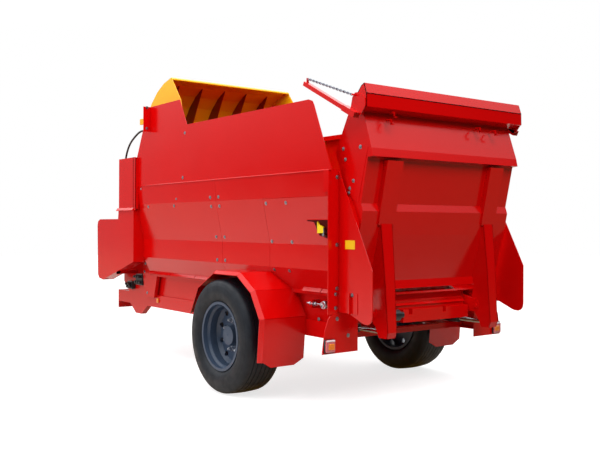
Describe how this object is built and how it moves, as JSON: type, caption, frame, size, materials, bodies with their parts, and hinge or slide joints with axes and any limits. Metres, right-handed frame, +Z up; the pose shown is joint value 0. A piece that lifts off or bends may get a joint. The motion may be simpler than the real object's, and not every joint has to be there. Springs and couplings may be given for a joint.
{
  "type": "trailed straw chopper",
  "caption": "Trailed straw chopper and bale shredder with folding tailgate, bed chain, toothed rotor, fan housing with side chute, and a hood over the rotor.",
  "frame": {"origin": "centre of the bounding box on the ground", "axes": "+Z up, +Y forward towards the drawbar eye, +X to the machine's right"},
  "size_m": [2.4462, 5.7768, 3.0435],
  "materials": {
    "red_paint": "gloss red enamel",
    "yellow_paint": "gloss yellow enamel",
    "fin_red": "dark red enamel",
    "black_paint": "satin black",
    "tyre_rubber": "black tyre rubber",
    "rim_steel": "satin blue-grey",
    "lamp_lens": "red and amber lamp plastic",
    "bare_steel": "worn steel",
    "chrome_rod": "polished hard chrome",
    "hose_rubber": "black hose rubber",
    "zinc_steel": "zinc plated"
  },
  "bodies": {
    "chassis": {"axle_beam": "red_paint", "bed_chain": "bare_steel", "bed_motor": "black_paint", "belt_cover": "red_paint", "chain_shafts": "bare_steel", "chassis_crossmembers": "red_paint", "chassis_rails": "red_paint", "chute": "red_paint", "drawbar": "red_paint", "drive_guards": "red_paint", "fan_housing": "red_paint", "fenders": "red_paint", "floor_deck": "red_paint", "floor_edges": "red_paint", "front_bulkhead": "red_paint", "gearbox": "black_paint", "guard_brackets": "red_paint", "hinge_brackets": "red_paint", "hood_fins": "fin_red", "hood_mounts": "red_paint", "hood_shell": "yellow_paint", "hose_fittings": "zinc_steel", "hydraulic_hose": "hose_rubber", "jack_sleeve": "red_paint", "lamp_brackets": "red_paint", "lamps": "lamp_lens", "rear_beam": "red_paint", "rear_posts": "red_paint", "rotor_bearings": "bare_steel", "rotor_concave": "red_paint", "side_panels": "red_paint", "side_posts": "red_paint", "skirts": "red_paint", "upper_sides": "red_paint", "wings": "red_paint"},
    "wheel_left": {"tyre_left": "tyre_rubber", "rim_left": "rim_steel"},
    "wheel_right": {"tyre_right": "tyre_rubber", "rim_right": "rim_steel"},
    "rotor": {"rotor": "bare_steel"},
    "fan": {"fan_impeller": "bare_steel"},
    "pto_shaft": {"pto_shaft": "bare_steel"},
    "jack": {"jack_leg": "bare_steel"},
    "chute_flap": {"chute_flap": "red_paint"},
    "tailgate": {"tailgate_panel": "red_paint", "tailgate_sides": "red_paint", "tailgate_cap": "red_paint", "tailgate_ribs": "red_paint", "tailgate_arms": "red_paint", "bale_arms": "red_paint", "bale_chains": "bare_steel"},
    "ram_barrel_left": {"ram_barrel_left": "black_paint"},
    "ram_rod_left": {"ram_rod_left": "chrome_rod"},
    "ram_barrel_right": {"ram_barrel_right": "black_paint"},
    "ram_rod_right": {"ram_rod_right": "chrome_rod"}
  },
  "joints": [
    {"name": "wheel_left_spin", "type": "hinge", "parent": "chassis", "child": "wheel_left", "pos_m": [-1.03, -1.2715, 0.5], "axis": [1, 0, 0], "continuous": true},
    {"name": "wheel_right_spin", "type": "hinge", "parent": "chassis", "child": "wheel_right", "pos_m": [1.03, -1.2715, 0.5], "axis": [1, 0, 0], "continuous": true},
    {"name": "rotor_spin", "type": "hinge", "parent": "chassis", "child": "rotor", "pos_m": [0, 0.4285, 1.37], "axis": [1, 0, 0], "continuous": true},
    {"name": "fan_spin", "type": "hinge", "parent": "chassis", "child": "fan", "pos_m": [0, 1.2785, 1.426], "axis": [0, 1, 0], "continuous": true},
    {"name": "pto_spin", "type": "hinge", "parent": "chassis", "child": "pto_shaft", "pos_m": [0, 1.5485, 0.9], "axis": [0, 1, 0], "continuous": true},
    {"name": "jack_slide", "type": "slide", "parent": "chassis", "child": "jack", "axis": [0, 0, 1], "range_m": [0, 0.28]},
    {"name": "chute_flap_hinge", "type": "hinge", "parent": "chassis", "child": "chute_flap", "pos_m": [1.102, 1.0585, 2.166], "axis": [0, -1, 0], "range_deg": [-10, 60]},
    {"name": "tailgate_hinge", "type": "hinge", "parent": "chassis", "child": "tailgate", "pos_m": [0, -2.6415, 0.78], "axis": [1, 0, 0], "range_deg": [0, 105]},
    {"name": "ram_left_tilt", "type": "hinge", "parent": "chassis", "child": "ram_barrel_left", "pos_m": [-0.59, -1.6715, 0.655], "axis": [1, 0, 0], "range_deg": [-6.48, 0.5]},
    {"name": "ram_left_slide", "type": "slide", "parent": "ram_barrel_left", "child": "ram_rod_left", "axis": [0, 1, 0.0095], "range_m": [-0.003, 0.2368]},
    {"name": "ram_right_tilt", "type": "hinge", "parent": "chassis", "child": "ram_barrel_right", "pos_m": [0.59, -1.6715, 0.655], "axis": [1, 0, 0], "range_deg": [-6.48, 0.5]},
    {"name": "ram_right_slide", "type": "slide", "parent": "ram_barrel_right", "child": "ram_rod_right", "axis": [0, 1, 0.0095], "range_m": [-0.003, 0.2368]}
  ],
  "couplings": [
    {"joint": "ram_left_tilt", "follows": "tailgate_hinge", "ratio": -0.056965},
    {"joint": "ram_left_slide", "follows": "tailgate_hinge", "m_per_rad": 0.12755},
    {"joint": "ram_right_tilt", "follows": "tailgate_hinge", "ratio": -0.056965},
    {"joint": "ram_right_slide", "follows": "tailgate_hinge", "m_per_rad": 0.12755}
  ]
}
